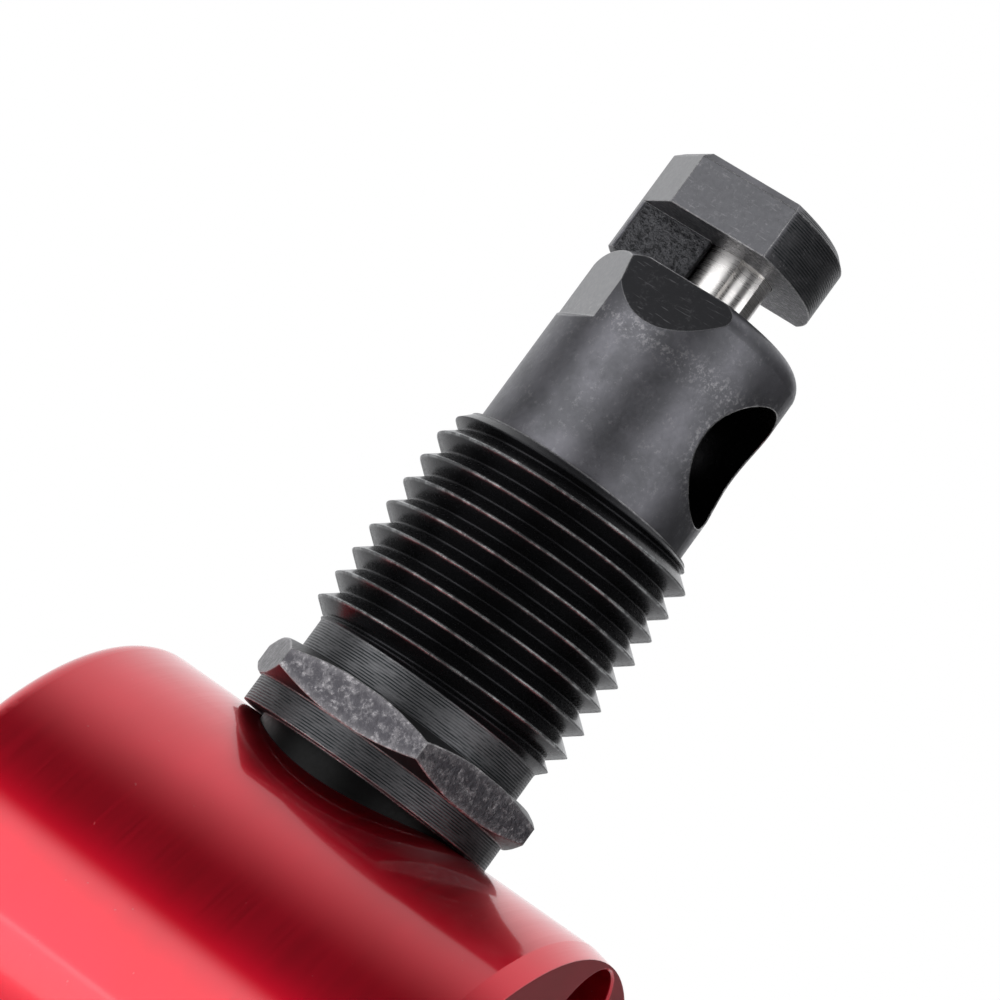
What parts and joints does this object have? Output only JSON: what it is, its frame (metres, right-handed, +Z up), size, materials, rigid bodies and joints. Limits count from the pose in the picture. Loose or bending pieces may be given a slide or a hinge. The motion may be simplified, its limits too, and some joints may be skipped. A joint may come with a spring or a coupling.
{
  "type": "double-headed sheet metal nibbler attachment",
  "caption": "Drill-driven sheet metal nibbler: a drum housing with a crank inside drives punches in die heads that swivel on opposite sides.",
  "frame": {"origin": "on the drive line, midway along the part of the shank that a chuck grips", "axes": "+X along the drive line to the closed front face, +Z up the upper head's axis, heads on the plane Y = 0"},
  "size_m": [0.0666, 0.0316, 0.1058],
  "materials": {
    "red_anodised": "polished, dyed red and anodised",
    "black_oxide": "turned and milled, black oxide",
    "punch_steel": "ground bright",
    "shaft_steel": "turned and ground",
    "bearing_steel": "ground and lapped",
    "spring_steel": "phosphated",
    "screw_steel": "black oxide",
    "bronze": "sintered, oiled",
    "seal_rubber": "moulded, matt"
  },
  "bodies": {
    "housing": {"housing": "red_anodised", "rear_cover": "red_anodised", "rear_cover_screws": "screw_steel", "lock_screws": "screw_steel", "front_bearing_outer": "bearing_steel", "rear_bush": "bronze", "shaft_seal": "seal_rubber"},
    "drive": {"drive_shaft": "shaft_steel", "front_bearing_inner": "bearing_steel", "shaft_circlip": "spring_steel", "roller_clip": "spring_steel"},
    "ball_set": {"front_bearing_balls": "bearing_steel", "front_bearing_cage": "bronze"},
    "roller": {"crank_roller": "bearing_steel"},
    "plunger": {"plunger": "shaft_steel"},
    "upper_punch": {"upper_punch": "punch_steel"},
    "lower_punch": {"lower_punch": "punch_steel"},
    "upper_head": {"upper_die_holder": "black_oxide", "upper_guide_bush": "bronze"},
    "lower_head": {"lower_die_holder": "black_oxide", "lower_guide_bush": "bronze"}
  },
  "joints": [
    {"name": "drive_spin", "type": "hinge", "parent": "housing", "child": "drive", "pos_m": [0, 0, 0], "axis": [1, 0, 0], "continuous": true},
    {"name": "ball_set_spin", "type": "hinge", "parent": "housing", "child": "ball_set", "pos_m": [0, 0, 0], "axis": [1, 0, 0], "continuous": true},
    {"name": "roller_spin", "type": "hinge", "parent": "drive", "child": "roller", "pos_m": [0.038, 0, 0.0018], "axis": [1, 0, 0], "continuous": true},
    {"name": "plunger_slide", "type": "slide", "parent": "housing", "child": "plunger", "axis": [0, 0, 1], "range_m": [-0.0036, 0]},
    {"name": "upper_head_swivel", "type": "hinge", "parent": "housing", "child": "upper_head", "pos_m": [0.038, 0, 0], "axis": [0, 0, 1], "continuous": true},
    {"name": "lower_head_swivel", "type": "hinge", "parent": "housing", "child": "lower_head", "pos_m": [0.038, 0, 0], "axis": [0, 0, 1], "continuous": true},
    {"name": "upper_punch_swivel", "type": "hinge", "parent": "plunger", "child": "upper_punch", "pos_m": [0.038, 0, 0], "axis": [0, 0, 1], "continuous": true},
    {"name": "lower_punch_swivel", "type": "hinge", "parent": "plunger", "child": "lower_punch", "pos_m": [0.038, 0, 0], "axis": [0, 0, 1], "continuous": true}
  ],
  "couplings": [
    {"joint": "ball_set_spin", "follows": "drive_spin", "ratio": 0.4},
    {"joint": "upper_punch_swivel", "follows": "upper_head_swivel", "ratio": 1},
    {"joint": "lower_punch_swivel", "follows": "lower_head_swivel", "ratio": 1}
  ]
}
